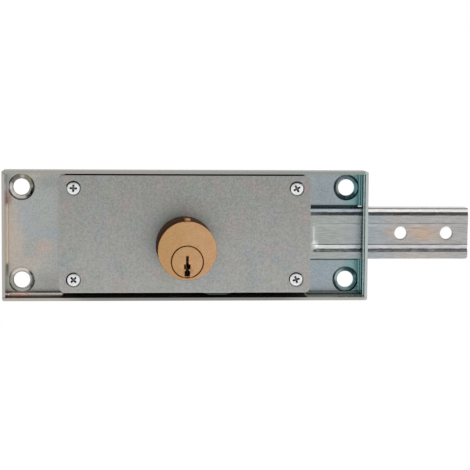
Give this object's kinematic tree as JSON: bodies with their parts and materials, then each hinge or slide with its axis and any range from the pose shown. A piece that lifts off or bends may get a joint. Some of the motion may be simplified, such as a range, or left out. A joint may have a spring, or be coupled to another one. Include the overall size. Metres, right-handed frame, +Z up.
{
  "type": "roller shutter lock",
  "caption": "Flat lock for a roller shutter: a shallow folded case with a cover plate, a round brass key cylinder and a long profiled side bolt drilled for an extension rod.",
  "frame": {"origin": "centre of the four fixing holes, in the plane of the case's back", "axes": "+X towards the free end of the bolt, +Z up, +Y out of the back of the case into the shutter"},
  "size_m": [0.2002, 0.0395, 0.055],
  "materials": {
    "zinc_plated_case": "zinc plated, yellow and blue tints",
    "zinc_plated_cover": "zinc plated, matt",
    "zinc_plated_bolt": "zinc plated, satin",
    "bright_screw": "bright zinc",
    "turned_steel": "turned",
    "spring_steel": "drawn wire",
    "brass": "satin",
    "brass_plug": "satin, turned"
  },
  "bodies": {
    "lock": {"case": "zinc_plated_case", "cover_plate": "zinc_plated_cover", "cover_screw_1": "bright_screw", "cover_screw_2": "bright_screw", "cover_screw_3": "bright_screw", "cover_screw_4": "bright_screw", "post_1": "turned_steel", "post_2": "turned_steel", "post_3": "turned_steel", "post_4": "turned_steel", "cylinder_body": "brass", "chamber_strip": "brass", "sleeve_1": "turned_steel", "sleeve_2": "turned_steel", "cylinder_screw_1": "bright_screw", "cylinder_screw_2": "bright_screw", "pin_spring_1": "spring_steel", "pin_spring_2": "spring_steel", "pin_spring_3": "spring_steel", "pin_spring_4": "spring_steel", "pin_spring_5": "spring_steel"},
    "bolt": {"bolt": "zinc_plated_bolt"},
    "plug": {"plug": "brass_plug", "pinion": "turned_steel", "pinion_screw": "bright_screw"},
    "key_pin_1": {"key_pin_1": "brass_plug"},
    "driver_pin_1": {"driver_pin_1": "turned_steel"},
    "key_pin_2": {"key_pin_2": "brass_plug"},
    "driver_pin_2": {"driver_pin_2": "turned_steel"},
    "key_pin_3": {"key_pin_3": "brass_plug"},
    "driver_pin_3": {"driver_pin_3": "turned_steel"},
    "key_pin_4": {"key_pin_4": "brass_plug"},
    "driver_pin_4": {"driver_pin_4": "turned_steel"},
    "key_pin_5": {"key_pin_5": "brass_plug"},
    "driver_pin_5": {"driver_pin_5": "turned_steel"}
  },
  "joints": [
    {"name": "bolt_slide", "type": "slide", "parent": "lock", "child": "bolt", "axis": [1, 0, 0], "range_m": [0, 0.02513]},
    {"name": "plug_turn", "type": "hinge", "parent": "lock", "child": "plug", "pos_m": [-0.0007, -0.0395, -0.00855], "axis": [0, 1, 0], "range_deg": [0, 360]},
    {"name": "key_pin_1_lift", "type": "slide", "parent": "plug", "child": "key_pin_1", "axis": [0, 0, 1], "range_m": [-0.00355, 0]},
    {"name": "driver_pin_1_lift", "type": "slide", "parent": "lock", "child": "driver_pin_1", "axis": [0, 0, 1], "range_m": [-0.00355, 0], "deforming": ["pin_spring_1"]},
    {"name": "key_pin_2_lift", "type": "slide", "parent": "plug", "child": "key_pin_2", "axis": [0, 0, 1], "range_m": [-0.00215, 0]},
    {"name": "driver_pin_2_lift", "type": "slide", "parent": "lock", "child": "driver_pin_2", "axis": [0, 0, 1], "range_m": [-0.00215, 0], "deforming": ["pin_spring_2"]},
    {"name": "key_pin_3_lift", "type": "slide", "parent": "plug", "child": "key_pin_3", "axis": [0, 0, 1], "range_m": [-0.00285, 0]},
    {"name": "driver_pin_3_lift", "type": "slide", "parent": "lock", "child": "driver_pin_3", "axis": [0, 0, 1], "range_m": [-0.00285, 0], "deforming": ["pin_spring_3"]},
    {"name": "key_pin_4_lift", "type": "slide", "parent": "plug", "child": "key_pin_4", "axis": [0, 0, 1], "range_m": [-0.00165, 0]},
    {"name": "driver_pin_4_lift", "type": "slide", "parent": "lock", "child": "driver_pin_4", "axis": [0, 0, 1], "range_m": [-0.00165, 0], "deforming": ["pin_spring_4"]},
    {"name": "key_pin_5_lift", "type": "slide", "parent": "plug", "child": "key_pin_5", "axis": [0, 0, 1], "range_m": [-0.00325, 0]},
    {"name": "driver_pin_5_lift", "type": "slide", "parent": "lock", "child": "driver_pin_5", "axis": [0, 0, 1], "range_m": [-0.00325, 0], "deforming": ["pin_spring_5"]}
  ],
  "couplings": [
    {"joint": "plug_turn", "follows": "bolt_slide", "rad_per_m": 250},
    {"joint": "driver_pin_1_lift", "follows": "key_pin_1_lift", "ratio": 1},
    {"joint": "driver_pin_2_lift", "follows": "key_pin_2_lift", "ratio": 1},
    {"joint": "driver_pin_3_lift", "follows": "key_pin_3_lift", "ratio": 1},
    {"joint": "driver_pin_4_lift", "follows": "key_pin_4_lift", "ratio": 1},
    {"joint": "driver_pin_5_lift", "follows": "key_pin_5_lift", "ratio": 1}
  ]
}
